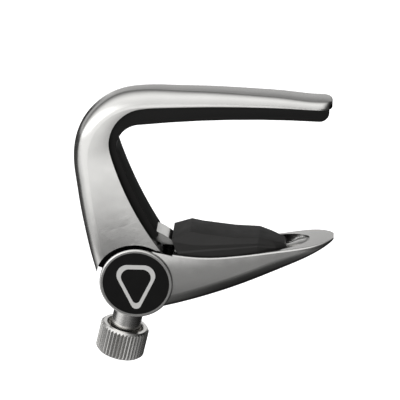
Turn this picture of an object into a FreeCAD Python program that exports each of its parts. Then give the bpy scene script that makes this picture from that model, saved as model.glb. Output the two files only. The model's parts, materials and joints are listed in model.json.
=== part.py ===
"""Guitar capo: a C-shaped upper arm hinged to a trough-shaped lower arm, closed by a knurled screw.

Everything is laid out round the pivot axis, which runs along Y.  X runs along the two arms towards
their tips, Z runs up from the lower arm to the upper arm.  Each finished piece is then moved by one
shared Placement, so that the origin of the part is the middle of the gap that takes the neck.
"""
import FreeCAD
import Part
import Sketcher
import math
import os

from FreeCAD import Placement, Rotation, Vector

SIZES = {
    # Where the pivot stands from the middle of the neck gap.
    "pivot_back": 27.0,
    "pivot_drop": 32.0,
    # Boss of the lower arm: two cheeks round the knuckle of the upper arm.
    "boss_radius": 10.4,
    "boss_half": 8.5,
    "boss_round": 0.45,
    "cheek_inner": 6.3,
    "knuckle_room": 8.2,
    "wall": 1.1,
    "trough_depth": 4.0,
    # Badges let into the cheeks.
    "badge_radius": 9.4,
    "badge_depth": 0.7,
    "badge_thick": 0.55,
    # Pivot pin, bushes and washers.
    "pin_radius": 1.75,
    "pin_half": 7.7,
    "bush_bore": 1.8,
    "bush_radius": 2.5,
    "washer_bore": 1.85,
    "washer_radius": 5.0,
    "washer_thick": 0.35,
    # Knuckle of the upper arm: a fork whose ears carry the heel pin.
    "knuckle_half": 5.85,
    "fork_half": 3.7,
    "ear_radius": 4.0,
    "fork_room": 4.6,
    "heel_reach": 5.2,
    "heel_angle": 33.0,
    "heel_radius": 1.0,
    "heel_wall": 1.0,
    "arm_cut": 11.2,
    "arm_cut_back": 0.5,
    "arm_half_foot": 7.2,
    # Guide band: a curved tongue of the lower arm that slides in a slot in the upper arm's foot.
    "band_outer": 15.2,
    "band_inner": 12.6,
    "band_half": 3.5,
    "band_front": 9.75,
    "band_under": 10.2,
    "rib_half": 1.2,
    "rib_back": 8.5,
    "band_gap": 0.3,
    "arm_half_bend": 6.1,
    "arm_half_tip": 4.9,
    # Screw line: it leans from the vertical and passes through the pivot.
    "screw_lean": 12.9,
    "screw_radius": 2.5,
    "collar_bore": 2.55,
    "collar_radius": 4.25,
    "collar_top": 8.75,
    "collar_end": 18.2,
    "drag_groove": 3.45,
    "drag_at": 15.6,
    "drag_wire": 0.42,
    # Thrust cone, measured down the screw line from the pivot.
    "cone_slope": 40.0,
    "cone_gap": 0.05,
    "cone_nose": 1.55,
    "cone_radius": 3.5,
    "cone_foot": 8.09,
    # Button on the end of the screw, swaged into the cone.
    "button_top": 5.65,
    "button_end": 6.95,
    "button_radius": 1.5,
    "neck_radius": 1.1,
    # Knob.
    "knob_top": 16.9,
    "knob_end": 25.5,
    "knob_radius": 7.03,
    "knob_recess": 5.2,
    "recess_floor": 21.6,
    "knob_bevel": 0.7,
    "flute_depth": 0.42,
    "flute_count": 40,
    "cap_radius": 3.6,
    "cap_thick": 0.9,
    # Rubber.
    "string_pad_half": 4.75,
    "neck_pad_half": 5.3,
    "neck_pad_tip_half": 3.0,
    # Return spring round the pivot pin.
    "spring_wire": 0.26,
    "spring_mean": 2.2,
    "spring_pitch": 0.53,
    "spring_inner": 2.2,
    "spring_top_leg": 7.0,
    "spring_foot_leg": 7.4,
}

AXIS_Y = Vector(0, 1, 0)
NOSE_START = 50.5
NOSE_LENGTH = 4.1
NOSE_BLUNT = 3.0
HULL_START = 1.6
SPOON_START = 46.0
HULL_TIP = 55.9
TROUGH_RISE = 32.0
TROUGH_TAPER = 38.0
TROUGH_END = 49.0
NECK_PAD_TIP = 42.2
BAND_START = 40.0
BAND_END = 97.0
OPEN_ANGLE = 4.0
CLOSED_ANGLE = 18.0
SPRING_TOP_ANGLE = 195.0
SPRING_FOOT_ANGLE = 220.0


def make_sheet(doc):
    """Spreadsheet with one aliased cell for each driving dimension."""
    sheet = doc.addObject("Spreadsheet::Sheet", "Sizes")
    for row, (name, value) in enumerate(SIZES.items(), start=1):
        sheet.set(f"A{row}", name)
        sheet.set(f"B{row}", str(value))
        sheet.setAlias(f"B{row}", name)
    doc.recompute()
    return sheet


def size(name):
    """Value of a driving dimension, read back from the sheet."""
    return float(sheet.get(name))


def down_screw(distance):
    """Point on the screw line, a distance below the pivot."""
    lean = math.radians(size("screw_lean"))
    return Vector(-distance * math.sin(lean), 0, -distance * math.cos(lean))


def polar(radius, degrees):
    """Point in the XZ plane at an angle up from +X."""
    angle = math.radians(degrees)
    return Vector(radius * math.cos(angle), 0, radius * math.sin(angle))


def side(x, z):
    return Vector(x, 0, z)


# ---------------------------------------------------------------- bound sub-parts


def bind(obj, **expressions):
    """Binds properties to the sheet; a double underscore stands for the dot in a property's path."""
    for prop, expression in expressions.items():
        obj.setExpression(prop.replace("__", "."), expression)


def place_bound(obj, x="0", y="0", z="0"):
    """Binds a place in the pivot layout, carried over to the part's own frame."""
    bind(
        obj,
        Placement__Base__x=f"{x} - Sizes.pivot_back",
        Placement__Base__y=y,
        Placement__Base__z=f"{z} - Sizes.pivot_drop",
    )


def rod(label, radius, start, length, x="0", z="0"):
    """Solid cylinder along +Y; every argument is an expression on the sheet."""
    obj = doc.addObject("Part::Cylinder", label)
    obj.Placement = Placement(Vector(), Rotation(Vector(1, 0, 0), -90))
    bind(obj, Radius=radius, Height=length)
    place_bound(obj, x, start, z)
    subparts.append(obj)


def ring(label, bore, radius, start, length):
    """Flat ring padded along +Y round the pivot axis."""
    body, sketch = body_with_sketch(label, "XZ_Plane")
    for index, expression in enumerate((bore, radius)):
        circle = Part.Circle(Vector(), Vector(0, 0, 1), 1.0 + index)
        sketch.addGeometry(circle, False)
        sketch.addConstraint(Sketcher.Constraint("Coincident", index, 3, -1, 1))
        number = sketch.addConstraint(Sketcher.Constraint("Radius", index, 1.0 + index))
        sketch.setExpression(f"Constraints[{number}]", expression)
    pad = body.newObject("PartDesign::Pad", f"{label}_pad")
    pad.Profile = sketch
    pad.Reversed = True
    bind(pad, Length=length)
    place_bound(body, y=start)
    subparts.append(body)


def turned(label, profile):
    """Body turned round the screw line from (radius, distance below the pivot) expressions."""
    body, sketch = body_with_sketch(label, "XZ_Plane")
    points = [Vector(sheet_value(radius), -sheet_value(depth), 0) for radius, depth in profile]
    for start, end in zip(points, points[1:] + points[:1]):
        sketch.addGeometry(Part.LineSegment(start, end), False)
    for index, (radius, depth) in enumerate(profile):
        following = (index + 1) % len(profile)
        sketch.addConstraint(Sketcher.Constraint("Coincident", index, 2, following, 1))
        if radius == "0":
            sketch.addConstraint(Sketcher.Constraint("PointOnObject", index, 1, -2))
        else:
            number = sketch.addConstraint(Sketcher.Constraint("DistanceX", index, 1, points[index].x))
            sketch.setExpression(f"Constraints[{number}]", radius)
        number = sketch.addConstraint(Sketcher.Constraint("DistanceY", index, 1, points[index].y))
        sketch.setExpression(f"Constraints[{number}]", f"-({depth})")
    revolution = body.newObject("PartDesign::Revolution", f"{label}_turning")
    revolution.Profile = sketch
    revolution.ReferenceAxis = (sketch, ["V_Axis"])
    revolution.Angle = 360
    body.Placement = Placement(Vector(), Rotation(AXIS_Y, size("screw_lean")))
    place_bound(body)
    subparts.append(body)
    return body


def body_with_sketch(label, role):
    body = doc.addObject("PartDesign::Body", label)
    return body, sketch_on(body, f"{label}_outline", role)


def sketch_on(body, name, role):
    plane = [item for item in body.Origin.OriginFeatures if item.Role == role][0]
    sketch = body.newObject("Sketcher::SketchObject", name)
    sketch.AttachmentSupport = [(plane, "")]
    sketch.MapMode = "FlatFace"
    return sketch


def sheet_value(expression):
    """Number that an expression on the sheet gives now."""
    return float(sheet.evalExpression(expression))


def feature(label, shape):
    """Sub-part whose shape is built directly, placed after its shape is set."""
    obj = doc.addObject("Part::Feature", label)
    obj.Shape = shape
    obj.Placement = Placement(Vector(-size("pivot_back"), 0, -size("pivot_drop")), Rotation())
    subparts.append(obj)


# ---------------------------------------------------------------- solids in the pivot layout


def cylinder_y(radius, half):
    return Part.makeCylinder(radius, 2 * half, Vector(0, -half, 0), AXIS_Y)


def prism(points, half):
    """Closed side outline of points or edges, pushed both ways along Y."""
    outline = Part.Face(closed_wire(points))
    outline.translate(Vector(0, -half, 0))
    return outline.extrude(Vector(0, 2 * half, 0))


def closed_wire(items):
    if isinstance(items[0], Vector):
        return Part.makePolygon(items + items[:1])
    return Part.Wire(Part.__sortEdges__(items))


def sector(inner, outer, start, end, half):
    """Part of a flat ring round the pivot between two angles, pushed both ways along Y."""
    middle = (start + end) / 2
    edges = [
        arc(polar(outer, start), polar(outer, middle), polar(outer, end)),
        line(polar(outer, end), polar(inner, end)),
        arc(polar(inner, end), polar(inner, middle), polar(inner, start)),
        line(polar(inner, start), polar(outer, start)),
    ]
    return prism(edges, half)


def arc(start, middle, end):
    return Part.Arc(start, middle, end).toShape()


def line(start, end):
    return Part.LineSegment(start, end).toShape()


def point_on(edge, fraction):
    first, last = edge.ParameterRange
    return edge.valueAt(first + fraction * (last - first))


def unit(vector):
    return Vector(vector).normalize()


def arm_section(inner, outer, half, inner_round, outer_round, side_bow, face_bow):
    """Closed wire across an arm, from its flat inner face to its bowed outer face.

    half is the greatest half width; side_bow and face_bow are the radii of the gently bowed sides
    and outer face; every arc is tangent to the next.
    """
    depth = (outer - inner).Length
    outward = unit(outer - inner)
    side_centre = Vector(half - side_bow, 0.45 * depth, 0)
    face_centre = Vector(0, depth - face_bow, 0)

    low_y = side_centre.x + math.sqrt((side_bow - inner_round) ** 2 - (inner_round - side_centre.y) ** 2)
    low_centre = Vector(low_y, inner_round, 0)

    gap = (face_centre - side_centre).Length
    reach_side = side_bow - outer_round
    reach_face = face_bow - outer_round
    along = (reach_side**2 - reach_face**2 + gap**2) / (2 * gap)
    across = math.sqrt(reach_side**2 - along**2)
    step = unit(face_centre - side_centre)
    turn = Vector(-step.y, step.x, 0)
    choices = [side_centre + step * along + turn * sign * across for sign in (1, -1)]
    high_centre = max(choices, key=lambda point: point.x + point.y)

    to_low = unit(low_centre - side_centre)
    to_high = unit(high_centre - side_centre)
    to_face = unit(high_centre - face_centre)
    down = Vector(0, -1, 0)
    half_outline = [
        Vector(low_y, 0, 0),
        low_centre + unit(down + to_low) * inner_round,
        side_centre + to_low * side_bow,
        side_centre + unit(to_low + to_high) * side_bow,
        side_centre + to_high * side_bow,
        high_centre + unit(to_high + to_face) * outer_round,
        face_centre + to_face * face_bow,
    ]

    def place(point, mirror=1):
        return inner + outward * point.y + AXIS_Y * point.x * mirror

    near = [place(point, -1) for point in half_outline]
    far = [place(point) for point in half_outline]
    edges = [line(far[0], near[0])]
    edges += [arc(*near[i : i + 3]) for i in (0, 2, 4)]
    edges.append(arc(near[6], place(Vector(0, depth, 0)), far[6]))
    edges += [arc(far[i + 2], far[i + 1], far[i]) for i in (4, 2, 0)]
    return Part.Wire(edges)


# ---------------------------------------------------------------- upper arm


def upper_arm_outlines():
    """Inner and outer side outlines, from the tip to the boss: top run, bend, back run."""
    inner_turn = side(3.5, 40.8)
    outer_turn = side(2.2, 36.2)
    inner_bend = [inner_turn + polar(10.9, angle) for angle in (90, 145, 200)]
    outer_bend = [outer_turn + polar(20.0, angle) for angle in (90, 137, 184.5)]
    inner = [
        arc(side(NOSE_START, 51.95), side(30.0, 52.5), inner_bend[0]),
        arc(*inner_bend),
        arc(inner_bend[2], side(-1.3, 23.0), side(7.6, 8.3)),
    ]
    outer = [
        arc(side(NOSE_START, 54.2), side(28.0, 55.85), outer_bend[0]),
        arc(*outer_bend),
        arc(outer_bend[2], side(-15.8, 19.3), side(-11.7, 0.2)),
    ]
    return inner, outer


def upper_arm_stations():
    """Inner point, outer point and half width at each section of the upper arm."""
    inner, outer = upper_arm_outlines()
    half_tip = size("arm_half_tip")
    half_bend = size("arm_half_bend")
    half_foot = size("arm_half_foot")
    stations = []
    for along in (0.99, 0.95, 0.86, 0.7, 0.45):
        shrink = (1 - along**NOSE_BLUNT) ** (1 / NOSE_BLUNT)
        under = point_on(inner[0], 0) + side(along * NOSE_LENGTH, 0)
        depth = (point_on(outer[0], 0) - point_on(inner[0], 0)).Length
        stations.append((under, under + side(0, depth * (0.5 + 0.5 * shrink)), half_tip * shrink))
    runs = ((6, half_tip, half_bend - 0.5), (5, half_bend - 0.5, half_bend), (6, half_bend, half_foot))
    for run, (count, half_start, half_end) in enumerate(runs):
        for step in range(count + (run == 2)):
            fraction = step / count
            widened = math.sin(fraction * math.pi / 2) if run == 2 else fraction
            half = half_start + (half_end - half_start) * widened
            stations.append((point_on(inner[run], fraction), point_on(outer[run], fraction), half))
    return stations


def upper_arm_skin():
    sections = []
    for inner, outer, half in upper_arm_stations():
        depth = (outer - inner).Length
        outer_round = min(4.5, 0.9 * depth - 0.15, 0.8 * half)
        inner_round = min(0.15, 0.05 * depth)
        sections.append(arm_section(inner, outer, half, inner_round, outer_round, 45.0, 25.0))
    return Part.makeLoft(sections, True, False)


def upper_arm_shape():
    boss_room = cylinder_y(size("arm_cut"), 12)
    boss_room.translate(side(-size("arm_cut_back"), 0))
    skin = upper_arm_skin().cut(boss_room)
    tongue = prism(
        [side(0, 0), polar(11.6, 52), polar(13.0, 75), polar(13.4, 105), polar(13.0, 135), polar(11.6, 160)],
        size("knuckle_half"),
    )
    heel = polar(size("heel_reach"), 270 - size("screw_lean") - size("heel_angle"))
    lobe_radius = size("heel_radius") + size("heel_wall")
    lobe = cylinder_y(lobe_radius, size("knuckle_half"))
    lobe.translate(heel)
    aside = unit(Vector(-heel.z, 0, heel.x)) * lobe_radius
    web = prism([aside, heel + aside, heel - aside, aside * -1], size("knuckle_half"))
    knuckle = cylinder_y(size("ear_radius"), size("knuckle_half")).multiFuse([tongue, lobe, web])
    fork = size("fork_half")
    room = Part.makeCylinder(size("fork_room"), 2 * fork, Vector(0, -fork, 0), AXIS_Y)
    slot = Part.makeBox(24, 2 * fork, 12, Vector(-12, -fork, -12))
    slot.rotate(Vector(), AXIS_Y, size("screw_lean"))
    knuckle = knuckle.cut(room).cut(slot)
    arm = skin.fuse(knuckle)
    arm = arm.cut(cylinder_y(size("bush_radius"), 9))
    bore = cylinder_y(size("heel_radius"), size("knuckle_half"))
    bore.translate(heel)
    arm = arm.cut(bore).cut(spring_leg_hole())
    return arm.cut(band_room()).removeSplitter()


# ---------------------------------------------------------------- guide band


def guide_band():
    """Curved tongue round the pivot with a flat underside, on a rib that stands between the cheeks."""
    front = size("band_front")
    under = size("band_under")
    beyond = [side(front, 13), side(front + 0.9, under), side(20, under), side(20, 20), side(front, 20)]
    below = [side(-1, 0), side(20, 0), side(20, under), side(-1, under)]
    band = sector(size("band_inner"), size("band_outer"), BAND_START, BAND_END, size("band_half"))
    band = band.cut(prism(beyond, 9)).cut(prism(below, 9))
    rib_back = size("rib_back")
    top = under + 0.5
    rib = prism([side(rib_back, -1), side(front, -1), side(front, top), side(rib_back, top)], size("rib_half"))
    return band.fuse(rib)


def band_room():
    """Slot in the upper arm for all that the guide band and its rib pass through."""
    gap = size("band_gap")
    start = BAND_START - OPEN_ANGLE - 3
    inner = size("band_inner") - gap
    end = BAND_END + CLOSED_ANGLE + 3
    slot = sector(inner, size("band_outer") + gap, start, end, size("band_half") + gap)
    rib_end = math.degrees(math.atan2(size("band_under") + 0.5, size("rib_back"))) + CLOSED_ANGLE + 3
    return slot.fuse(sector(size("rib_back") - gap, inner + 0.1, start, rib_end, size("rib_half") + gap))


# ---------------------------------------------------------------- lower arm


def rim_curve():
    points = [side(0, 9.6), side(8, 9.0), side(17, 7.9), side(31.2, 8.8), side(44.3, 10.9), side(57, 12.9)]
    curve = Part.BSplineCurve()
    curve.interpolate(points)
    return curve


def height_at(curve, x):
    """Height where a side curve crosses a given x."""
    plane = Part.Plane(side(x, 0), Vector(1, 0, 0))
    return curve.intersect(plane)[0][0].Z


def hull_half(x):
    """Half width of the lower arm: it narrows from the boss, then rounds off to the tip."""
    along = min((x - HULL_START) / (SPOON_START - HULL_START), 1)
    half = size("boss_half") - 0.15 - 1.55 * math.sin(along * math.pi / 2)
    if x > SPOON_START:
        half *= math.sqrt(1 - ((x - SPOON_START) / (HULL_TIP - SPOON_START)) ** 2)
    return half


def lower_arm_shape():
    rim = rim_curve()
    keel = Part.Arc(side(1.5, -10.25), side(27, -2.75), side(57.5, 13.3))
    sections = []
    for x in (HULL_START, 8, 15, 22, 30, 38, SPOON_START, 49, 51.5, 53.5, 55.0, 55.6):
        half = hull_half(x)
        top = side(x, height_at(rim, x))
        bottom = side(x, height_at(keel, x))
        depth = (top - bottom).Length
        keel_round = min(5.0, 0.7 * depth, 0.7 * half)
        rim_round = min(0.45, 0.2 * depth)
        sections.append(arm_section(top, bottom, half, rim_round, keel_round, 60.0, 40.0))
    hull = Part.makeLoft(sections, True, False)
    boss = cylinder_y(size("boss_radius"), size("boss_half"))
    boss = boss.makeFillet(size("boss_round"), [edge for edge in boss.Edges if len(edge.Vertexes) == 1])
    body = hull.fuse(boss).cut(trough_shape(rim))

    # Room for the knuckle between the cheeks, open upwards.
    cheek = size("cheek_inner")
    body = body.cut(cylinder_y(size("knuckle_room"), cheek))
    body = body.cut(prism([side(-14, 0), side(10.4, 0), side(10.4, 20), side(-14, 20)], cheek))
    # Room for the foot of the upper arm outside the cheeks' discs.
    sweep = prism([polar(0.1, 40), side(10.3, 4), side(10.3, 20), polar(18, 100)], size("boss_half") - 1.05)
    body = body.cut(sweep.cut(cylinder_y(size("boss_radius") + 0.3, 9)))
    body = body.fuse(guide_band())

    # Recesses for the badges, pin hole, counterbore for the cone and bore for the collar.
    depth = size("badge_depth")
    for sign in (-1, 1):
        face = sign * size("boss_half")
        start = min(face, face - sign * depth)
        body = body.cut(Part.makeCylinder(size("badge_radius") + 0.05, depth, Vector(0, start, 0), AXIS_Y))
    body = body.cut(cylinder_y(size("pin_radius"), 9))
    down = unit(down_screw(1))
    body = body.cut(Part.makeCylinder(size("cone_radius") + 0.3, size("collar_top"), Vector(), down))
    body = body.cut(Part.makeCylinder(size("collar_radius"), 4, down_screw(size("collar_top")), down))
    return body.removeSplitter()


def trough_shape(rim):
    """Hollow that holds the neck pad; its floor runs out to the rim at a rounded point near the tip."""
    sections = []
    for x in (6.9, 14, 23, 31, 37, 41, 44, 46.5, 48, 48.7):
        half = min(hull_half(x), hull_half(SPOON_START)) - size("wall")
        rise = max(x - TROUGH_RISE, 0) / (TROUGH_END - TROUGH_RISE)
        taper = max(x - TROUGH_TAPER, 0) / (TROUGH_END - TROUGH_TAPER)
        half *= math.sqrt(1 - taper**2)
        rim_height = height_at(rim, x)
        top = side(x, rim_height + 4)
        floor = side(x, rim_height - size("trough_depth") * math.sqrt(1 - rise**2))
        floor_round = min(1.2 + 2.0 * rise, 0.8 * half)
        sections.append(arm_section(top, floor, half, 0.4, floor_round, 60.0, 60.0))
    return Part.makeLoft(sections, True, False)


# ---------------------------------------------------------------- rubber pads


def string_pad_shape():
    inner, _ = upper_arm_outlines()
    top_face, bend_face, back_face = inner
    foot = side(4.55, 12.2)
    pad_foot = side(6.3, 13.3)
    back_edge = arc(point_on(bend_face, 1), side(-1.3, 23.0), foot)
    under = [side(51.0, 48.6), side(30.0, 48.75), side(1.4, 46.65)]
    turn = [under[2], side(-3.6, 44.4), side(-5.5, 39.6)]
    back = [turn[2], side(-0.6, 26.6), pad_foot]
    tip = [side(53.7, 51.9), side(52.95, 49.4), under[0]]
    edges = [line(tip[0], point_on(top_face, 0)), top_face, bend_face, back_edge, line(foot, pad_foot)]
    edges += [arc(*back), arc(*turn), arc(*under), arc(*tip)]
    return prism(edges, size("string_pad_half")).cut(upper_arm_skin()).cut(band_room())


def neck_pad_shape():
    outline = [
        side(11.8, 4.9),
        side(11.6, 8.2),
        side(10.0, 12.7),
        side(15.0, 15.0),
        side(26.9, 13.3),
        side(36.5, 13.0),
        side(NECK_PAD_TIP, 10.8),
        side(NECK_PAD_TIP, 9.4),
        side(30.0, 5.3),
        side(22.0, 4.5),
    ]
    half = size("neck_pad_half")
    tip_half = size("neck_pad_tip_half")
    plan = [(9, half), (33, half), (NECK_PAD_TIP, tip_half)]
    plan += [(x, -y) for x, y in reversed(plan)]
    taper = Part.Face(closed_wire([Vector(x, y, 0) for x, y in plan])).extrude(Vector(0, 0, 20))
    return prism(outline, half).common(taper)


# ---------------------------------------------------------------- return spring


def spring_path():
    """Coil round the pivot pin, turning from +X to +Z and stepping outwards, and its two legs."""
    pitch = size("spring_pitch")
    turns = 2 + (SPRING_FOOT_ANGLE - SPRING_TOP_ANGLE) / 360
    coil = Part.makeHelix(pitch, pitch * turns, size("spring_mean"))
    coil.rotate(Vector(), Vector(1, 0, 0), 90)
    coil.rotate(Vector(), AXIS_Y, -SPRING_TOP_ANGLE)
    coil.translate(Vector(0, -size("spring_inner"), 0))
    edge = coil.Edges[0]
    first, last = edge.ParameterRange
    top = edge.valueAt(first)
    foot = edge.valueAt(last)
    top_leg = line(top - edge.tangentAt(first) * size("spring_top_leg"), top)
    foot_leg = line(foot, foot + edge.tangentAt(last) * size("spring_foot_leg"))
    return top_leg, edge, foot_leg


def spring_shape():
    top_leg, edge, foot_leg = spring_path()
    start = top_leg.valueAt(top_leg.FirstParameter)
    section = Part.Wire(Part.makeCircle(size("spring_wire"), start, top_leg.tangentAt(top_leg.FirstParameter)))
    path = Part.Wire([top_leg, edge, foot_leg])
    return path.makePipeShell([section], True, True)


def spring_leg_hole():
    """Drilling in the tongue that takes the spring's upper leg."""
    top_leg = spring_path()[0]
    end = top_leg.valueAt(top_leg.LastParameter)
    direction = top_leg.tangentAt(top_leg.FirstParameter) * -1
    return Part.makeCylinder(size("spring_wire") + 0.08, size("spring_top_leg") + 0.3, end, direction)


# ---------------------------------------------------------------- knob


def knob():
    """Knurled knob: a turned blank with straight flutes round its rim."""
    turned_body = turned(
        "tension_knob",
        [
            ("Sizes.screw_radius", "Sizes.recess_floor"),
            ("Sizes.knob_recess", "Sizes.recess_floor"),
            ("Sizes.knob_recess", "Sizes.knob_top + 0.25"),
            ("Sizes.knob_recess + 0.25", "Sizes.knob_top"),
            ("Sizes.knob_radius - Sizes.knob_bevel", "Sizes.knob_top"),
            ("Sizes.knob_radius", "Sizes.knob_top + Sizes.knob_bevel"),
            ("Sizes.knob_radius", "Sizes.knob_end - Sizes.knob_bevel"),
            ("Sizes.knob_radius - Sizes.knob_bevel", "Sizes.knob_end"),
            ("Sizes.cap_radius", "Sizes.knob_end"),
            ("Sizes.cap_radius", "Sizes.knob_end - Sizes.cap_thick"),
            ("Sizes.screw_radius", "Sizes.knob_end - Sizes.cap_thick"),
        ],
    )
    doc.recompute()
    plain = turned_body.Shape.Volume
    sketch = sketch_on(turned_body, "tension_knob_flute", "XY_Plane")
    radius = size("knob_radius")
    half_pitch = math.pi * radius / size("flute_count")
    root = Vector(radius - size("flute_depth"), 0, 0)
    near = Vector(radius + 0.1, -half_pitch, 0)
    far = Vector(radius + 0.1, half_pitch, 0)
    for start, end in ((root, near), (near, far), (far, root)):
        sketch.addGeometry(Part.LineSegment(start, end), False)
    for index in range(3):
        sketch.addConstraint(Sketcher.Constraint("Coincident", index, 2, (index + 1) % 3, 1))
    sketch.addConstraint(Sketcher.Constraint("PointOnObject", 0, 1, -1))
    sketch.addConstraint(Sketcher.Constraint("Symmetric", 0, 2, 1, 2, -1))
    bound = (
        ("DistanceX", 0, root.x, "Sizes.knob_radius - Sizes.flute_depth"),
        ("DistanceX", 1, near.x, "Sizes.knob_radius + 0.1"),
        ("DistanceY", 2, far.y, "pi * Sizes.knob_radius / Sizes.flute_count"),
    )
    for kind, index, value, expression in bound:
        number = sketch.addConstraint(Sketcher.Constraint(kind, index, 1, value))
        sketch.setExpression(f"Constraints[{number}]", expression)
    flute = turned_body.newObject("PartDesign::Pocket", "tension_knob_flute_cut")
    flute.Profile = sketch
    flute.Type = "ThroughAll"
    flute.SideType = "Symmetric"
    pattern = turned_body.newObject("PartDesign::PolarPattern", "tension_knob_knurl")
    pattern.Originals = [flute]
    axis = [item for item in turned_body.Origin.OriginFeatures if item.Role == "Z_Axis"][0]
    pattern.Axis = (axis, [""])
    pattern.Angle = 360
    pattern.Occurrences = int(size("flute_count"))
    turned_body.Tip = pattern
    doc.recompute()
    if turned_body.Shape.Volume > plain - 10:
        raise ValueError("the knob's flutes cut nothing")


# ---------------------------------------------------------------- screw line


# Distance down the screw line to the cone's nose: its flank touches the heel pin.
CONE_NOSE_AT = (
    "(Sizes.heel_radius + Sizes.cone_gap - Sizes.heel_reach * sin((Sizes.heel_angle - Sizes.cone_slope) * 1deg))"
    " / sin(Sizes.cone_slope * 1deg) + Sizes.cone_nose / tan(Sizes.cone_slope * 1deg)"
)
CONE_FLANK = "(Sizes.cone_radius - Sizes.cone_nose) / tan(Sizes.cone_slope * 1deg)"


def screw_line():
    """Everything that is centred on the screw line."""
    turned(
        "screw_collar",
        [
            ("Sizes.collar_bore", "Sizes.collar_top"),
            ("Sizes.collar_radius", "Sizes.collar_top"),
            ("Sizes.collar_radius", "Sizes.collar_end - 0.4"),
            ("Sizes.collar_radius - 0.4", "Sizes.collar_end"),
            ("Sizes.collar_bore", "Sizes.collar_end"),
            ("Sizes.collar_bore", "Sizes.drag_at + 0.5"),
            ("Sizes.drag_groove", "Sizes.drag_at + 0.5"),
            ("Sizes.drag_groove", "Sizes.drag_at - 0.5"),
            ("Sizes.collar_bore", "Sizes.drag_at - 0.5"),
        ],
    )
    turned(
        "thrust_cone",
        [
            ("0", CONE_NOSE_AT),
            ("Sizes.cone_nose", CONE_NOSE_AT),
            ("Sizes.cone_radius", f"{CONE_NOSE_AT} + {CONE_FLANK}"),
            ("Sizes.cone_radius", "Sizes.cone_foot"),
            ("Sizes.neck_radius + 0.1", "Sizes.cone_foot"),
            ("Sizes.neck_radius + 0.1", "Sizes.button_end + 0.08"),
            ("Sizes.button_radius + 0.1", "Sizes.button_end + 0.08"),
            ("Sizes.button_radius + 0.1", "Sizes.button_top - 0.05"),
            ("0", "Sizes.button_top - 0.05"),
        ],
    )
    turned(
        "tension_screw",
        [
            ("0", "Sizes.button_top"),
            ("Sizes.button_radius", "Sizes.button_top"),
            ("Sizes.button_radius", "Sizes.button_end"),
            ("Sizes.neck_radius", "Sizes.button_end"),
            ("Sizes.neck_radius", "Sizes.cone_foot + 0.1"),
            ("Sizes.screw_radius", "Sizes.cone_foot + 0.1"),
            ("Sizes.screw_radius", "Sizes.knob_end - Sizes.cap_thick - 0.1"),
            ("0", "Sizes.knob_end - Sizes.cap_thick - 0.1"),
        ],
    )
    turned(
        "knob_cap",
        [
            ("0", "Sizes.knob_end - Sizes.cap_thick"),
            ("Sizes.cap_radius", "Sizes.knob_end - Sizes.cap_thick"),
            ("Sizes.cap_radius", "Sizes.knob_end - 0.3"),
            ("Sizes.cap_radius - 0.2", "Sizes.knob_end - 0.1"),
            ("0", "Sizes.knob_end - 0.1"),
        ],
    )
    drag = doc.addObject("Part::Torus", "drag_ring")
    drag.Placement = Placement(Vector(), Rotation(AXIS_Y, size("screw_lean")))
    bind(drag, Radius1="Sizes.screw_radius + 0.03 + Sizes.drag_wire", Radius2="Sizes.drag_wire")
    place_bound(
        drag,
        x="-Sizes.drag_at * sin(Sizes.screw_lean * 1deg)",
        z="-Sizes.drag_at * cos(Sizes.screw_lean * 1deg)",
    )
    subparts.append(drag)


def pivot_line():
    """Everything that is centred on the pivot axis, and the heel pin beside it."""
    rod("pivot_pin", "Sizes.pin_radius", "-Sizes.pin_half", "2 * Sizes.pin_half")
    rod(
        "heel_pin",
        "Sizes.heel_radius",
        "-Sizes.knuckle_half",
        "2 * Sizes.knuckle_half",
        x="-Sizes.heel_reach * sin((Sizes.screw_lean + Sizes.heel_angle) * 1deg)",
        z="-Sizes.heel_reach * cos((Sizes.screw_lean + Sizes.heel_angle) * 1deg)",
    )
    bush_length = "Sizes.knuckle_half - Sizes.fork_half"
    ring("near_bush", "Sizes.bush_bore", "Sizes.bush_radius", "-Sizes.knuckle_half", bush_length)
    ring("far_bush", "Sizes.bush_bore", "Sizes.bush_radius", "Sizes.fork_half", bush_length)
    washer = ("Sizes.washer_bore", "Sizes.washer_radius")
    ring("near_washer", *washer, "-(Sizes.cheek_inner - 0.05)", "Sizes.washer_thick")
    ring("far_washer", *washer, "Sizes.cheek_inner - 0.05 - Sizes.washer_thick", "Sizes.washer_thick")
    seat = "(Sizes.boss_half - Sizes.badge_depth)"
    rod("near_badge", "Sizes.badge_radius", f"-{seat} - Sizes.badge_thick", "Sizes.badge_thick")
    rod("far_badge", "Sizes.badge_radius", seat, "Sizes.badge_thick")


doc = FreeCAD.newDocument("Capo")
sheet = make_sheet(doc)
subparts = []

feature("upper_arm", upper_arm_shape())
feature("lower_arm", lower_arm_shape())
feature("string_pad", string_pad_shape())
feature("neck_pad", neck_pad_shape())
feature("return_spring", spring_shape())
pivot_line()
screw_line()
knob()
doc.recompute()

broken = [obj.Name for obj in doc.Objects if {"Invalid", "Error"} & set(obj.State)]
if broken:
    raise ValueError(f"failed objects: {broken}")
os.makedirs("parts", exist_ok=True)
for subpart in subparts:
    shape = subpart.Shape
    if shape.isNull() or not shape.isValid() or not shape.Solids:
        raise ValueError(f"{subpart.Label} has no sound solid")
    print(f"{subpart.Label:16s} {len(shape.Solids)} solid(s) {shape.Volume:10.2f} mm3")
    shape.exportStep(f"parts/{subpart.Label}.step")
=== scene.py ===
import json
import math

import bmesh
import bpy
from mathutils import Matrix, Vector
from mathutils.bvhtree import BVHTree


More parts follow.
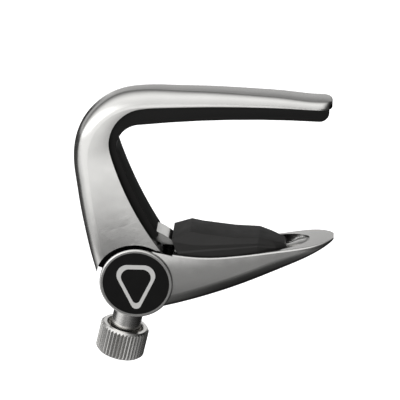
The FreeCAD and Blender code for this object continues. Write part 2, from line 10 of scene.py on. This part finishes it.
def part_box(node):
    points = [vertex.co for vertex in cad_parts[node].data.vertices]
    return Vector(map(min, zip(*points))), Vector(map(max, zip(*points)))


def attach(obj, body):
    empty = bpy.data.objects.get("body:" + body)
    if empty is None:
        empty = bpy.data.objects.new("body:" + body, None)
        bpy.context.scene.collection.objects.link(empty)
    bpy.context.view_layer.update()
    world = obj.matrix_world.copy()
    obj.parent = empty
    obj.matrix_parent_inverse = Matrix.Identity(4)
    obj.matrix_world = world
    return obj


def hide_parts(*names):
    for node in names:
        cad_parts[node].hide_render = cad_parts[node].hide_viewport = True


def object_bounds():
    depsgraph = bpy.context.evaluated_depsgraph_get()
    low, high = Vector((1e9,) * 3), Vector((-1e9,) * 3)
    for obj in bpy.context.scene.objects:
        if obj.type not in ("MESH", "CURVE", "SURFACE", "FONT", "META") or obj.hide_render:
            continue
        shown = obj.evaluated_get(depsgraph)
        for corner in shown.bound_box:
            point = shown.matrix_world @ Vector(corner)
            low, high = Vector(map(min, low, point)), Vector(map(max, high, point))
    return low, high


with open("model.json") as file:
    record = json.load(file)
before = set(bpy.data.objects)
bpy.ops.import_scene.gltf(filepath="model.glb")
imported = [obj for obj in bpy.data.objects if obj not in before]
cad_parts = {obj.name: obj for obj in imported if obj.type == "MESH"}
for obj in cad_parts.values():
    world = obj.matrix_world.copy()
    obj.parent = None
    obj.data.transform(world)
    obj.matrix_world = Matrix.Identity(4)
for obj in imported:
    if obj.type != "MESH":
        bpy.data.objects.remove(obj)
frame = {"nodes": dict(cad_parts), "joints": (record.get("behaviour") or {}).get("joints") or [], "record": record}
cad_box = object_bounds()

MM = 0.001

NODES = frame["nodes"]
JOINTS = {joint["name"]: joint for joint in frame["joints"]}
PIVOT = Vector(JOINTS["arm_pivot"]["pos_m"])
SCREW_LINE = Vector(JOINTS["screw_advance"]["axis"])


def from_pivot(x, y, z):
    """Place in the frame of a point given in millimetres from the middle of the pivot."""
    return PIVOT + Vector((x, y, z)) * MM


# ---------------------------------------------------------------- node helpers


# Range of a noise texture that holds nearly all its values.
NOISE_MIDDLE = (0.3, 0.7)


class Nodes:
    """Short ways to add and link the nodes of one material or world."""

    def __init__(self, tree):
        self.tree = tree
        tree.nodes.clear()

    def add(self, kind, **values):
        """A node with its settings and its sockets' values; an underscore stands for a space."""
        node = self.tree.nodes.new(kind)
        for name, value in values.items():
            if hasattr(node, name):
                setattr(node, name, value)
            else:
                node.inputs[name.replace("_", " ")].default_value = value
        return node

    def link(self, output, target):
        self.tree.links.new(output, target)

    def noise(self, place, scale, detail=3.0, roughness=0.5):
        node = self.add("ShaderNodeTexNoise", Scale=scale, Detail=detail, Roughness=roughness)
        self.link(place, node.inputs["Vector"])
        return node.outputs["Fac"]

    def spread(self, value, span, low, high, interpolation="LINEAR"):
        """A number that runs from low to high as the value runs over the span."""
        start, end = span
        node = self.add(
            "ShaderNodeMapRange",
            interpolation_type=interpolation,
            From_Min=start,
            From_Max=end,
            To_Min=low,
            To_Max=high,
        )
        self.link(value, node.inputs["Value"])
        return node.outputs["Result"]

    def curve(self, value, low, high, stops):
        """A grey looked up from (value, tone) stops between low and high."""
        ramp = self.add("ShaderNodeValToRGB")
        self.link(self.spread(value, (low, high), 0.0, 1.0), ramp.inputs["Fac"])
        elements = ramp.color_ramp.elements
        while len(elements) < len(stops):
            elements.new(0.5)
        for element, (stop, tone) in zip(elements, stops):
            element.position = (stop - low) / (high - low)
            element.color = (tone, tone, tone, 1)
        return ramp.outputs["Color"]

    def mix(self, factor, dark, pale):
        node = self.add("ShaderNodeMix", data_type="RGBA")
        self.link(factor, node.inputs["Factor"])
        for socket, colour in (("A", dark), ("B", pale)):
            if isinstance(colour, tuple):
                node.inputs[socket].default_value = (*colour, 1)
            else:
                self.link(colour, node.inputs[socket])
        return node.outputs["Result"]

    def maths(self, operation, first, second=0.0):
        """Result of a Math node; either side is a socket or a number."""
        node = self.add("ShaderNodeMath", operation=operation)
        for target, value in zip(node.inputs, (first, second)):
            if isinstance(value, (int, float)):
                target.default_value = value
            else:
                self.link(value, target)
        return node.outputs["Value"]

    def sum_of_squares(self, *sides):
        return self.maths("ADD", *[self.maths("MULTIPLY", side, side) for side in sides])

    def vector_maths(self, operation, place, vector):
        """Outputs of a Vector Math node that takes a place and a fixed vector."""
        node = self.add("ShaderNodeVectorMath", operation=operation)
        self.link(place, node.inputs[0])
        node.inputs[1].default_value = vector
        return node.outputs

    def axes(self, place):
        """The X, Y and Z of a place."""
        node = self.add("ShaderNodeSeparateXYZ")
        self.link(place, node.inputs["Vector"])
        return node.outputs

    def bump(self, height, distance, strength):
        node = self.add("ShaderNodeBump", Strength=strength, Distance=distance)
        self.link(height, node.inputs["Height"])
        return node.outputs["Normal"]


def new_nodes(name):
    """An empty material and its nodes."""
    material = bpy.data.materials.new(name)
    material.use_nodes = True
    return material, Nodes(material.node_tree)


def new_material(name, metallic, roughness, **sockets):
    """A material with one Principled shader, its nodes, that shader and the object's own places."""
    material, nodes = new_nodes(name)
    shader = nodes.add("ShaderNodeBsdfPrincipled", Metallic=metallic, Roughness=roughness, **sockets)
    output = nodes.add("ShaderNodeOutputMaterial")
    nodes.link(shader.outputs["BSDF"], output.inputs["Surface"])
    place = nodes.add("ShaderNodeTexCoord").outputs["Object"]
    return material, nodes, shader, place


# ---------------------------------------------------------------- materials


# Painted shade in gaps, darkening the colour: how open a spot is, from 0 to 1, where the painted shade is full and
# where it ends.
GAP_SHADE_SPAN = (0.35, 0.8)
GAP_SHADE_SAMPLES = 8
# Black painted shade on the side faces of the knuckle, in the gap round the boss: they reach this far from the
# pivot's axis and from the middle, in millimetres.
JOINT_REACH = 11.65
JOINT_HALF = 5.95
JOINT_PAINTED_SHADE = (0.006, 0.006, 0.006)
# Darkest and palest tone of the plated arms, and their roughness from glossiest to dullest.
ARM_TONES = ((0.64, 0.635, 0.62), (0.70, 0.695, 0.68))
ARM_ROUGHNESS = (0.17, 0.22)


def with_painted_gap_shade(nodes, colour, reach, depth):
    """The colour with painted shade: down to the depth's share of itself in gaps narrower than the reach in
    millimetres.
    """
    hollow = nodes.add("ShaderNodeAmbientOcclusion", samples=GAP_SHADE_SAMPLES, Distance=reach * MM)
    tint = nodes.add("ShaderNodeVectorMath", operation="SCALE")
    nodes.link(colour, tint.inputs[0])
    nodes.link(nodes.spread(hollow.outputs["AO"], GAP_SHADE_SPAN, depth, 1.0), tint.inputs["Scale"])
    return tint.outputs["Vector"]


def joint_shade_faces(nodes, place):
    """1 on the side faces of the knuckle, where the painted shade goes, and 0 on the rest of the upper arm."""
    x, y, z = nodes.axes(nodes.vector_maths("SUBTRACT", place, PIVOT)["Vector"])
    near = nodes.maths("LESS_THAN", nodes.sum_of_squares(x, z), (JOINT_REACH * MM) ** 2)
    deep = nodes.maths("LESS_THAN", nodes.maths("ABSOLUTE", y), JOINT_HALF * MM)
    return nodes.maths("MULTIPLY", near, deep)


def satin_metal(name, tones, roughness, shade_joint=False):
    """Bead-blasted and plated metal: fine grain, with faint clouding in tone and gloss."""
    material, nodes, shader, place = new_material(name, 1.0, roughness[0])
    clouds = nodes.mix(nodes.noise(place, scale=120.0, detail=4.0), *tones)
    # painted shade: the metal's colour is darkened in gaps and hollows
    colour = with_painted_gap_shade(nodes, clouds, reach=3.0, depth=0.04)
    if shade_joint:
        # painted shade: the knuckle's side faces are painted black
        colour = nodes.mix(joint_shade_faces(nodes, place), colour, JOINT_PAINTED_SHADE)
    gloss = nodes.noise(place, scale=320.0, detail=5.0)
    grain = nodes.noise(place, scale=9000.0, detail=1.0)
    nodes.link(colour, shader.inputs["Base Color"])
    nodes.link(nodes.spread(gloss, NOISE_MIDDLE, *roughness), shader.inputs["Roughness"])
    nodes.link(nodes.bump(grain, distance=0.00005 * MM, strength=0.25), shader.inputs["Normal"])
    return material


def turned_metal(name, tones, roughness):
    """Lathe-turned metal: rings round the screw line, too fine to count, and faint clouding."""
    material, nodes, shader, place = new_material(name, 1.0, roughness[0])
    clouds = nodes.mix(nodes.noise(place, scale=260.0), *tones)
    # painted shade: the metal's colour is darkened in grooves and gaps
    colour = with_painted_gap_shade(nodes, clouds, reach=0.8, depth=0.3)
    turning = nodes.add("ShaderNodeTexNoise", noise_dimensions="1D", Scale=9000.0, Detail=1.0)
    nodes.link(nodes.vector_maths("DOT_PRODUCT", place, SCREW_LINE)["Value"], turning.inputs["W"])
    rings = turning.outputs["Fac"]
    nodes.link(colour, shader.inputs["Base Color"])
    nodes.link(nodes.spread(rings, NOISE_MIDDLE, *roughness), shader.inputs["Roughness"])
    nodes.link(nodes.bump(rings, distance=0.0003 * MM, strength=0.15), shader.inputs["Normal"])
    return material


def moulded_rubber(name, tones, grain, shine=0.4):
    """Matte rubber with a fine moulded grain and a little paler dust in patches."""
    material, nodes, shader, place = new_material(name, 0.0, 0.6, Specular_IOR_Level=shine)
    patches = nodes.noise(place, scale=210.0, detail=6.0, roughness=0.6)
    fine = nodes.noise(place, scale=6500.0)
    nodes.link(nodes.mix(patches, *tones), shader.inputs["Base Color"])
    nodes.link(nodes.spread(patches, NOISE_MIDDLE, 0.5, 0.66), shader.inputs["Roughness"])
    nodes.link(nodes.bump(fine, distance=grain * MM, strength=0.7), shader.inputs["Normal"])
    return material


def lacquer(name, tones):
    """Thin black lacquer on a flat disc, with a faint orange-peel surface."""
    material, nodes, shader, place = new_material(name, 0.0, 0.35, Specular_IOR_Level=0.12)
    clouds = nodes.noise(place, scale=150.0, detail=4.0)
    gloss = nodes.noise(place, scale=700.0)
    peel = nodes.noise(place, scale=900.0, detail=2.0)
    nodes.link(nodes.mix(clouds, *tones), shader.inputs["Base Color"])
    nodes.link(nodes.spread(gloss, NOISE_MIDDLE, 0.3, 0.42), shader.inputs["Roughness"])
    nodes.link(nodes.bump(peel, distance=0.004 * MM, strength=0.4), shader.inputs["Normal"])
    return material


def plain_plastic(name, tones):
    """Smooth plastic or paint with faint clouding in tone and gloss."""
    material, nodes, shader, place = new_material(name, 0.0, 0.5)
    clouds = nodes.noise(place, scale=400.0)
    gloss = nodes.noise(place, scale=900.0)
    nodes.link(nodes.mix(clouds, *tones), shader.inputs["Base Color"])
    nodes.link(nodes.spread(gloss, NOISE_MIDDLE, 0.42, 0.58), shader.inputs["Roughness"])
    return material


def paint(node, material):
    for material_slot in node.material_slots:
        material_slot.material = material


def paint_nodes():
    """Give each CAD node the finish of its material slot, and the upper arm black painted shade on its knuckle."""
    finishes = {
        "arm_metal": satin_metal("arm_satin", ARM_TONES, ARM_ROUGHNESS),
        "screw_metal": turned_metal(
            "collar_turned", ((0.74, 0.73, 0.71), (0.82, 0.81, 0.79)), (0.18, 0.28)
        ),
        "inner_steel": turned_metal(
            "inner_steel", ((0.50, 0.50, 0.50), (0.60, 0.60, 0.60)), (0.28, 0.40)
        ),
        "bush_bronze": satin_metal(
            "bush_bronze", ((0.45, 0.29, 0.13), (0.58, 0.40, 0.20)), (0.30, 0.42)
        ),
        "washer_nylon": plain_plastic("washer_nylon", ((0.62, 0.61, 0.57), (0.74, 0.73, 0.69))),
        "seal_rubber": moulded_rubber(
            "seal_rubber", ((0.012, 0.012, 0.012), (0.02, 0.02, 0.02)), grain=0.002
        ),
        "badge_black": lacquer("badge_lacquer", ((0.006, 0.006, 0.006), (0.010, 0.0098, 0.0095))),
    }
    for subpart in frame["record"]["subparts"]:
        finish = finishes.get(subpart["material_slot"])
        if finish is not None:
            paint(NODES[subpart["node"]], finish)
    paint(NODES["upper_arm"], satin_metal("upper_arm_satin", ARM_TONES, ARM_ROUGHNESS, shade_joint=True))


# ---------------------------------------------------------------- mesh helpers


# Edges sharper than this many degrees are shaded as corners.
SHADING_ANGLE = 35.0


def object_from(name, mesh_data, material):
    """Object from a bmesh, shaded smooth except across its corners."""
    mesh = bpy.data.meshes.new(name)
    mesh_data.to_mesh(mesh)
    mesh_data.free()
    mesh.materials.append(material)
    mesh.polygons.foreach_set("use_smooth", [True] * len(mesh.polygons))
    mesh.set_sharp_from_angle(angle=math.radians(SHADING_ANGLE))
    piece = bpy.data.objects.new(name, mesh)
    bpy.context.scene.collection.objects.link(piece)
    return piece


def sharp_edges(mesh_data, degrees):
    """Edges where two faces meet at more than the angle."""
    limit = math.radians(degrees)
    return [edge for edge in mesh_data.edges if edge.is_manifold and edge.calc_face_angle() > limit]


def rounded(mesh_data, edges, radius, segments=4):
    bmesh.ops.bevel(
        mesh_data,
        geom=edges,
        offset=radius,
        segments=segments,
        profile=0.5,
        affect="EDGES",
        clamp_overlap=True,
    )


def skin_between(mesh_data, rings, closed_ends=True):
    """Faces between rings of the same number of vertices; closed_ends adds a face over each end."""
    count = len(rings[0])
    for first, second in zip(rings, rings[1:]):
        for index in range(count):
            following = (index + 1) % count
            mesh_data.faces.new((first[index], first[following], second[following], second[index]))
    if closed_ends:
        mesh_data.faces.new(rings[0][::-1])
        mesh_data.faces.new(rings[-1])


# ---------------------------------------------------------------- rubber


# Stations of the neck pad from the hinge to the tip, in millimetres from the pivot.  Each gives the
# foot, the lip, the hollow over the lip, the shoulder and the edge of the top, as (x, half width, z).
NECK_PAD_STATIONS = (
    ((12.6, 5.2, 4.8), (11.8, 6.15, 8.6), (11.5, 6.0, 9.1), (10.3, 6.3, 12.2), (10.0, 6.25, 12.8)),
    ((15.6, 5.4, 4.6), (15.6, 6.2, 9.0), (15.6, 6.0, 9.5), (15.5, 6.25, 11.4), (15.2, 4.9, 15.0)),
    ((19.5, 5.4, 4.5), (19.5, 6.2, 9.5), (19.5, 6.0, 10.0), (19.4, 6.2, 11.3), (18.3, 4.9, 14.35)),
    ((27.5, 5.2, 4.9), (27.5, 6.1, 10.3), (27.5, 5.9, 10.7), (27.5, 6.05, 11.8), (27.5, 4.75, 13.35)),
    ((34.0, 4.7, 6.0), (34.2, 5.7, 10.9), (34.2, 5.5, 11.3), (34.2, 5.6, 12.0), (34.6, 4.3, 13.3)),
    ((38.6, 3.8, 7.2), (39.4, 4.6, 10.3), (39.3, 4.45, 10.6), (39.2, 4.4, 11.1), (37.8, 3.8, 12.3)),
    ((41.9, 2.4, 8.5), (42.3, 2.75, 9.8), (42.3, 2.7, 10.0), (42.2, 2.7, 10.4), (41.7, 2.5, 11.0)),
)
# Its edges over this many degrees are rounded, by this radius in millimetres.
NECK_PAD_EDGE = 7
NECK_PAD_ROUND = 0.28
# Rounding of the liner at its ends and along its sides; edges nearer to the arm than this stay sharp.
# All three are in millimetres.
LINER_CORNER = 1.1
LINER_ROUND = 0.75
LINER_CLEAR = 0.9
# The liner's mesh is cleaned first: the gap in millimetres that is welded, and the angle in degrees
# that counts as flat.  Its edges are those over LINER_EDGE degrees, and the share of an edge's length
# that lies across the arm says whether it is at an end.
LINER_WELD = 0.002
LINER_FLAT = 1
LINER_EDGE = 35
LINER_ACROSS = 0.9


def neck_pad(rubber):
    """Faceted rubber block: a peak near the hinge, a long saddle and a tapered end."""
    mesh_data = bmesh.new()
    rings = []
    for station in NECK_PAD_STATIONS:
        near = [mesh_data.verts.new(from_pivot(x, -half, z)) for x, half, z in station]
        far = [mesh_data.verts.new(from_pivot(x, half, z)) for x, half, z in reversed(station)]
        rings.append(near + far)
    skin_between(mesh_data, rings)
    bmesh.ops.recalc_face_normals(mesh_data, faces=mesh_data.faces)
    rounded(mesh_data, sharp_edges(mesh_data, NECK_PAD_EDGE), NECK_PAD_ROUND * MM, segments=3)
    return object_from("neck_pad_rubber", mesh_data, rubber)


def string_pad(rubber):
    """The liner under the upper arm, with rounded edges wherever it stands clear of the arm."""
    arm_surface = BVHTree.FromObject(NODES["upper_arm"], bpy.context.evaluated_depsgraph_get())
    mesh_data = bmesh.new()
    mesh_data.from_mesh(NODES["string_pad"].data)
    bmesh.ops.remove_doubles(mesh_data, verts=mesh_data.verts, dist=LINER_WELD * MM)
    bmesh.ops.dissolve_limit(
        mesh_data,
        angle_limit=math.radians(LINER_FLAT),
        verts=mesh_data.verts,
        edges=mesh_data.edges,
    )
    for radius, across in ((LINER_CORNER, True), (LINER_ROUND, False)):
        edges = []
        for edge in sharp_edges(mesh_data, LINER_EDGE):
            start, end = (vertex.co for vertex in edge.verts)
            runs_across = abs(end.y - start.y) > LINER_ACROSS * (end - start).length
            clear = arm_surface.find_nearest((start + end) / 2)[3] > LINER_CLEAR * MM
            if clear and runs_across == across:
                edges.append(edge)
        rounded(mesh_data, edges, radius * MM)
    return object_from("string_pad_rubber", mesh_data, rubber)


# ---------------------------------------------------------------- badges


# Width of the plectrum and of its line, and how far the line is sunk in the badge and stands proud of
# it, in millimetres.
PLECTRUM_WIDTH = 11.0
PLECTRUM_LINE = 1.25
PRINT_SUNK = 0.02
PRINT_PROUD = 0.06
# Its three corners as shares of its width: middle of the arc (across, up) and radius, with the angles
# in degrees that the arc runs between.
PLECTRUM_CORNERS = (
    (-0.2, 0.22, 0.30, 100, 205),
    (0.0, -0.58, 0.13, 205, 335),
    (0.2, 0.22, 0.30, 335, 440),
)
CORNER_STEPS = 16


def plectrum_outline(width):
    """Rounded triangle pointing down, as (across, up) points round its edge."""
    points = []
    for across, up, radius, first, last in PLECTRUM_CORNERS:
        for step in range(CORNER_STEPS + 1):
            angle = math.radians(first + (last - first) * step / CORNER_STEPS)
            x = across + radius * math.cos(angle)
            z = up + radius * math.sin(angle)
            points.append((x * width, z * width))
    return points


def badge_print(name, node, outward, silver):
    """Raised pale plectrum outline on a badge."""
    low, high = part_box(node)
    face = high.y if outward > 0 else low.y
    mesh_data = bmesh.new()
    outer = plectrum_outline(PLECTRUM_WIDTH)
    inner = plectrum_outline(PLECTRUM_WIDTH - 2 * PLECTRUM_LINE)
    outside = ((outer, -PRINT_SUNK), (outer, PRINT_PROUD))
    inside = ((inner, PRINT_PROUD), (inner, -PRINT_SUNK))
    rings = []
    for points, lift in outside + inside:
        y = face + outward * lift * MM
        rings.append([mesh_data.verts.new((PIVOT.x + a * MM, y, PIVOT.z + u * MM)) for a, u in points])
    skin_between(mesh_data, rings + rings[:1], closed_ends=False)
    bmesh.ops.recalc_face_normals(mesh_data, faces=mesh_data.faces)
    piece = object_from(name, mesh_data, silver)
    return piece


# ---------------------------------------------------------------- studio


# Camera: its turn from the front and its height in degrees, its distance in metres, the point that it
# looks at, its lens in millimetres and how far it sees, in metres.
CAMERA_AZIMUTH = 3.3
CAMERA_ELEVATION = 22.3
CAMERA_DISTANCE = 0.8
CAMERA_AIM = from_pivot(17.18, 8.78, 18.95)
CAMERA_LENS = 252.0
CAMERA_REACH = 20.0
# Floor: how far it lies under the object and half its width, in metres, and the strength of its own
# glow, which keeps it plain white.
FLOOR_DROP = 0.03
FLOOR_HALF = 6.0
FLOOR_GLOW = 0.75


def view_directions():
    """Right, up and back of the camera, from its azimuth and elevation."""
    azimuth = math.radians(CAMERA_AZIMUTH)
    elevation = math.radians(CAMERA_ELEVATION)
    right = Vector((math.cos(azimuth), math.sin(azimuth), 0))
    back = Vector((math.sin(azimuth), -math.cos(azimuth), 0)) * math.cos(elevation)
    back += Vector((0, 0, math.sin(elevation)))
    return right, back.cross(right), back


def add_camera():
    right, up, back = view_directions()
    data = bpy.data.cameras.new("camera")
    data.lens = CAMERA_LENS
    data.clip_end = CAMERA_REACH
    camera = bpy.data.objects.new("camera", data)
    bpy.context.scene.collection.objects.link(camera)
    turn = Matrix((right, up, back)).transposed().to_4x4()
    camera.matrix_world = Matrix.Translation(CAMERA_AIM + back * CAMERA_DISTANCE) @ turn
    bpy.context.scene.camera = camera


# Brightness of the room against the angle in degrees round the X axis: 0 is level in front, 90 is
# overhead and 180 is level behind.  Below level only diffuse light meets it, because the paper lies
# before it in reflections.
ROOM_ROUND = (
    (-180, 0.30), (-160, 0.08), (-90, 0.015), (-50, 0.03), (-34, 0.11), (-22, 0.33), (-10, 0.70),
    (2, 0.86), (15, 0.96), (30, 1.03), (50, 1.15), (66, 1.22), (78, 1.18), (90, 1.05), (102, 0.85),
    (114, 0.60), (126, 0.34), (138, 0.17), (148, 0.26), (158, 0.50), (168, 0.54), (180, 0.42),
)
# Share of it that is left towards the right, against the direction's X.
ROOM_RIGHT = (
    (-1.0, 1.0), (0.08, 1.0), (0.3, 0.8), (0.52, 0.34), (0.72, 0.13), (0.93, 0.04), (1.0, 0.03),
)
# The paper under the object as the metal reflects it.  It carries a painted shadow: dark in the painted shadow of
# the lower arm and
# pale far from it: brightness against the distance in millimetres from the middle of the shadow, with
# the distance across stretched, and the shares that are left to the right of the pivot and behind it.
PAPER_SPAN = 300
SHADOW_MIDDLE = (38.0, -20.0)
SHADOW_STRETCH = 1.8
PAPER_NEAR = (
    (0, 0.04), (25, 0.09), (45, 0.17), (65, 0.26), (85, 0.38), (105, 0.30), (125, 0.24), (148, 0.24),
    (178, 0.35), (208, 0.60), (248, 1.04), (300, 1.20),
)
PAPER_RIGHT = ((-300, 1.0), (40, 1.0), (90, 0.5), (150, 0.1), (300, 0.05))
PAPER_BEHIND = (
    (-300, 1.0), (-140, 1.0), (-90, 0.80), (-45, 0.62), (-15, 0.55), (5, 0.12), (40, 0.05), (300, 0.04),
)
# Painted pools of light on the paper, left of the knob and behind the object: the middle of each and its
# brightness against the distance from there, down to nothing.
PATCHES = (
    ((-48.0, -14.0), ((0, 0.85), (24, 0.65), (46, 0.1), (62, 0.0))),
    ((30.0, 145.0), ((0, 0.85), (50, 0.75), (90, 0.3), (115, 0.0))),
)
# Pale card behind: its distance, its lower left and upper right corners, in millimetres from the
# pivot, and its brightness from the bottom to the top.
CARD_BEHIND = 150.0
CARD_CORNERS = ((-60.0, 20.0), (75.0, 78.0))
CARD_UP = ((0, 0.4), (0.4, 0.85), (0.8, 0.85), (1, 0.3))
# Large soft light on the left: direction, brightness, and the cosines where it fades out and is full.
LEFT_AZIMUTH = -50
LEFT_ELEVATION = -6
LEFT_RADIANCE = 1.05
LEFT_FADE = (0.643, 0.94)


def direction(azimuth, elevation):
    """Unit vector; azimuth turns from the front (-Y) towards +X and elevation goes up, in degrees."""
    around = math.radians(azimuth)
    above = math.radians(elevation)
    level = math.cos(above)
    return Vector((math.sin(around) * level, -math.cos(around) * level, math.sin(above)))


def add_world():
    """White for the camera; for the object a soft studio, bright in front, overhead and left."""
    world = bpy.data.worlds.new("studio")
    bpy.context.scene.world = world
    world.use_nodes = True
    nodes = Nodes(world.node_tree)
    place = nodes.add("ShaderNodeTexCoord").outputs["Generated"]
    x, y, z = nodes.axes(place)
    turn = nodes.maths("ARCTAN2", z, nodes.maths("MULTIPLY", y, -1.0))
    degrees = nodes.maths("MULTIPLY", turn, math.degrees(1))
    room = nodes.maths(
        "MULTIPLY",
        nodes.curve(degrees, -180, 180, ROOM_ROUND),
        nodes.curve(x, -1, 1, ROOM_RIGHT),
    )
    facing = nodes.vector_maths("DOT_PRODUCT", place, direction(LEFT_AZIMUTH, LEFT_ELEVATION))["Value"]
    left = nodes.spread(facing, LEFT_FADE, 0.0, LEFT_RADIANCE, "SMOOTHSTEP")
    felt = nodes.add("ShaderNodeBackground")
    nodes.link(nodes.maths("ADD", room, left), felt.inputs["Color"])
    seen = nodes.add("ShaderNodeBackground", Color=(1, 1, 1, 1))
    chooser = nodes.add("ShaderNodeMixShader")
    nodes.link(nodes.add("ShaderNodeLightPath").outputs["Is Camera Ray"], chooser.inputs["Fac"])
    nodes.link(felt.outputs["Background"], chooser.inputs[1])
    nodes.link(seen.outputs["Background"], chooser.inputs[2])
    output = nodes.add("ShaderNodeOutputWorld")
    nodes.link(chooser.outputs["Shader"], output.inputs["Surface"])


def level_sheet(name, material, x, y, drop):
    """Wide level sheet round a place, this far under the object, in metres."""
    mesh_data = bmesh.new()
    bmesh.ops.create_grid(mesh_data, x_segments=4, y_segments=4, size=FLOOR_HALF)
    sheet = object_from(name, mesh_data, material)
    sheet.location = (x, y, cad_box[0].z - drop)
    return sheet


def add_floor():
    """White paper that the camera sees and the object doesn't."""
    white = (1, 1, 1, 1)
    material, nodes, shader, place = new_material(
        "floor_paper", 0.0, 0.9, Emission_Color=white, Emission_Strength=FLOOR_GLOW
    )
    tone = nodes.mix(nodes.noise(place, scale=6.0), (0.86, 0.86, 0.86), (0.9, 0.9, 0.9))
    nodes.link(tone, shader.inputs["Base Color"])
    floor = level_sheet("floor", material, 0, 0, FLOOR_DROP)
    floor.visible_glossy = False
    floor.visible_diffuse = False


def glow_material(name):
    """A material that only glows, with its nodes and the socket of the glow's colour."""
    material, nodes = new_nodes(name)
    glow = nodes.add("ShaderNodeEmission")
    output = nodes.add("ShaderNodeOutputMaterial")
    nodes.link(glow.outputs["Emission"], output.inputs["Surface"])
    return material, nodes, glow.inputs["Color"]


def show_in_reflections_only(piece):
    piece.visible_camera = False
    piece.visible_diffuse = False
    piece.visible_shadow = False


def add_paper_glow():
    """The paper as reflections show it, with a painted shadow and painted pools of light, on a glowing sheet just
    over the floor that only they see.
    """
    material, nodes, colour = glow_material("paper_glow")
    x, y, _ = nodes.axes(nodes.add("ShaderNodeTexCoord").outputs["Object"])
    across, along = (nodes.maths("DIVIDE", side, MM) for side in (x, y))

    def distance_from(middle, stretch=1.0):
        wide = nodes.maths("MULTIPLY", nodes.maths("SUBTRACT", across, middle[0]), stretch)
        deep = nodes.maths("SUBTRACT", along, middle[1])
        return nodes.maths("SQRT", nodes.sum_of_squares(wide, deep))

    # painted shadow of the lower arm, and below it painted pools of light
    tone = nodes.curve(distance_from(SHADOW_MIDDLE, SHADOW_STRETCH), 0, PAPER_SPAN, PAPER_NEAR)
    for side, stops in ((across, PAPER_RIGHT), (along, PAPER_BEHIND)):
        tone = nodes.maths("MULTIPLY", tone, nodes.curve(side, -PAPER_SPAN, PAPER_SPAN, stops))
    for middle, stops in PATCHES:
        edge = stops[-1][0]
        tone = nodes.maths("ADD", tone, nodes.curve(distance_from(middle), 0, edge, stops))
    nodes.link(tone, colour)
    sheet = level_sheet("paper_glow", material, PIVOT.x, PIVOT.y, FLOOR_DROP / 2)
    show_in_reflections_only(sheet)


def add_back_card():
    """Pale card low behind the object: it brightens the rim of the lower arm in reflection."""
    material, nodes, colour = glow_material("back_card")
    height = nodes.axes(nodes.add("ShaderNodeTexCoord").outputs["Generated"])["Y"]
    nodes.link(nodes.curve(height, 0, 1, CARD_UP), colour)
    (left, low), (right, high) = CARD_CORNERS
    corners = ((left, low), (right, low), (right, high), (left, high))
    mesh_data = bmesh.new()
    mesh_data.faces.new([mesh_data.verts.new((x * MM, y * MM, 0)) for x, y in corners])
    card = object_from("back_card", mesh_data, material)
    upright = Matrix.Rotation(math.pi / 2, 4, "X")
    card.matrix_world = Matrix.Translation(from_pivot(0, CARD_BEHIND, 0)) @ upright
    show_in_reflections_only(card)


# ---------------------------------------------------------------- the object


def build():
    bpy.context.scene.view_settings.view_transform = "Standard"
    paint_nodes()

    pad_tones = ((0.016, 0.0155, 0.015), (0.026, 0.025, 0.024))
    pad = neck_pad(moulded_rubber("pad_rubber_moulded", pad_tones, grain=0.003))
    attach(pad, "lower_arm")
    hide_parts("neck_pad")

    liner_tones = ((0.006, 0.006, 0.006), (0.011, 0.0105, 0.01))
    liner = string_pad(moulded_rubber("liner_rubber_moulded", liner_tones, grain=0.002, shine=0.2))
    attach(liner, "upper_arm")
    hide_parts("string_pad")

    silver = plain_plastic("silver_print", ((0.62, 0.615, 0.60), (0.69, 0.685, 0.67)))
    for name, node, outward in (("near_badge_mark", "near_badge", -1), ("far_badge_mark", "far_badge", 1)):
        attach(badge_print(name, node, outward, silver), "lower_arm")

    add_camera()
    add_world()
    add_floor()
    add_paper_glow()
    add_back_card()


build()
